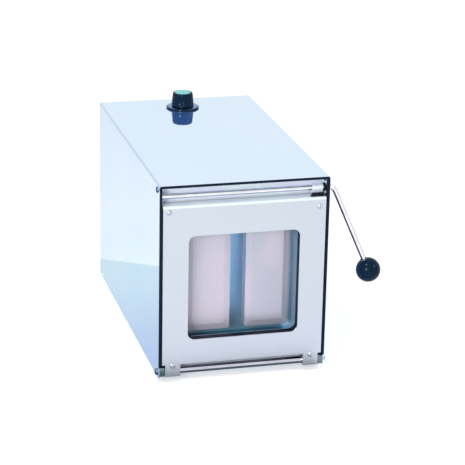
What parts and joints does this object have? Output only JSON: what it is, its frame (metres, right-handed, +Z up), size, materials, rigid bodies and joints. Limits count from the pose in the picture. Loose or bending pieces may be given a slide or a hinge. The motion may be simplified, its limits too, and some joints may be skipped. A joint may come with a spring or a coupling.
{
  "type": "laboratory paddle blender",
  "caption": "Bench paddle blender: steel casing, drop-down glazed door with latch lever and ball grip, two paddles on an eccentric drive, timer knob on top.",
  "frame": {"origin": "on the bench, in the plane of the four feet's undersides, at the centre of the casing's footprint", "axes": "+Z up, the door faces -Y, +X is to the right of a person facing the door"},
  "size_m": [0.3259, 0.4366, 0.313],
  "materials": {
    "casing_steel": "bright rolled stainless sheet, nearly a mirror",
    "satin_steel": "satin stainless sheet",
    "chamber_steel": "drawn stainless, bright",
    "paddle_steel": "fine-blasted stainless",
    "polished_steel": "polished stainless bar",
    "screw_steel": "plain stainless",
    "bearing_steel": "ground bearing steel",
    "seal_rubber": "matt moulded rubber",
    "belt_rubber": "matt ribbed rubber",
    "black_gloss": "polished black phenolic",
    "black_plastic": "fine matt black moulding",
    "guide_plastic": "natural acetal",
    "cap_teal": "pale teal moulded cap",
    "glass_clear": "clear toughened glass",
    "plate_aluminium": "machined aluminium",
    "motor_paint": "grey enamel",
    "capacitor_can": "plain drawn can",
    "board_green": "laminate with mounted parts"
  },
  "bodies": {
    "casing": {"casing_cover": "casing_steel", "base_tray": "casing_steel", "rear_panel": "casing_steel", "front_beam": "satin_steel", "edge_seal": "seal_rubber", "chamber_box": "chamber_steel", "chamber_gasket": "seal_rubber", "hinge_blocks": "satin_steel", "hinge_rod": "polished_steel", "hinge_caps": "screw_steel", "casing_screws": "screw_steel", "beam_screws": "screw_steel", "rear_screws": "screw_steel", "feet": "seal_rubber", "foot_screws": "screw_steel", "lever_bushes": "black_plastic", "bulkhead": "plate_aluminium", "guide_bushes": "guide_plastic", "shaft_seals": "seal_rubber", "crank_cheeks": "plate_aluminium", "crank_bearings": "bearing_steel", "motor_body": "motor_paint", "motor_bells": "plate_aluminium", "motor_cradle": "motor_paint", "motor_capacitor": "capacitor_can", "drive_belt": "belt_rubber", "timer_body": "black_plastic", "power_inlet": "black_plastic", "switch_frame": "black_plastic", "board_spacers": "screw_steel", "control_board": "board_green"},
    "door": {"door_plate": "satin_steel", "window_frame": "black_plastic", "glass_seal": "seal_rubber", "window_glass": "glass_clear", "door_back_plate": "satin_steel", "door_knuckles": "satin_steel", "door_spacers": "satin_steel", "door_screws": "screw_steel", "door_keeper": "black_plastic"},
    "lever": {"lever_rod": "polished_steel", "lever_ball": "black_gloss", "latch_cam": "black_plastic"},
    "knob": {"knob_body": "black_gloss", "knob_skirt": "black_gloss", "knob_cap": "cap_teal", "timer_spindle": "polished_steel"},
    "crank": {"crankshaft": "polished_steel", "crank_rollers": "bearing_steel", "crank_pulley": "plate_aluminium"},
    "left_carriage": {"left_paddle": "paddle_steel", "left_push_rods": "polished_steel", "left_yoke": "plate_aluminium"},
    "right_carriage": {"right_paddle": "paddle_steel", "right_push_rods": "polished_steel", "right_yoke": "plate_aluminium"},
    "motor_rotor": {"motor_shaft": "polished_steel", "motor_pulley": "plate_aluminium"},
    "rocker": {"mains_rocker": "black_plastic"}
  },
  "joints": [
    {"name": "door_hinge", "type": "hinge", "parent": "casing", "child": "door", "pos_m": [0, -0.206, 0.015], "axis": [1, 0, 0], "range_deg": [0, 90]},
    {"name": "lever_turn", "type": "hinge", "parent": "casing", "child": "lever", "pos_m": [0, -0.201, 0.2695], "axis": [1, 0, 0], "range_deg": [-100, 0]},
    {"name": "knob_turn", "type": "hinge", "parent": "casing", "child": "knob", "pos_m": [0, 0.164, 0.288], "axis": [0, 0, -1], "range_deg": [0, 300]},
    {"name": "crank_turn", "type": "hinge", "parent": "casing", "child": "crank", "pos_m": [0, -0.064, 0.149], "axis": [1, 0, 0], "range_deg": [-90, 90]},
    {"name": "left_paddle_slide", "type": "slide", "parent": "casing", "child": "left_carriage", "axis": [0, 1, 0], "range_m": [-0.0065, 0.0065]},
    {"name": "right_paddle_slide", "type": "slide", "parent": "casing", "child": "right_carriage", "axis": [0, 1, 0], "range_m": [-0.0065, 0.0065]},
    {"name": "motor_spin", "type": "hinge", "parent": "casing", "child": "motor_rotor", "pos_m": [0, 0.072, 0.078], "axis": [1, 0, 0], "range_deg": [-270, 270]},
    {"name": "rocker_tilt", "type": "hinge", "parent": "casing", "child": "rocker", "pos_m": [-0.034, 0.2145, 0.052], "axis": [-1, 0, 0], "range_deg": [0, 12]}
  ],
  "couplings": [
    {"joint": "left_paddle_slide", "follows": "crank_turn", "m_per_rad": -0.004138},
    {"joint": "right_paddle_slide", "follows": "crank_turn", "m_per_rad": 0.004138},
    {"joint": "motor_spin", "follows": "crank_turn", "ratio": 3}
  ]
}
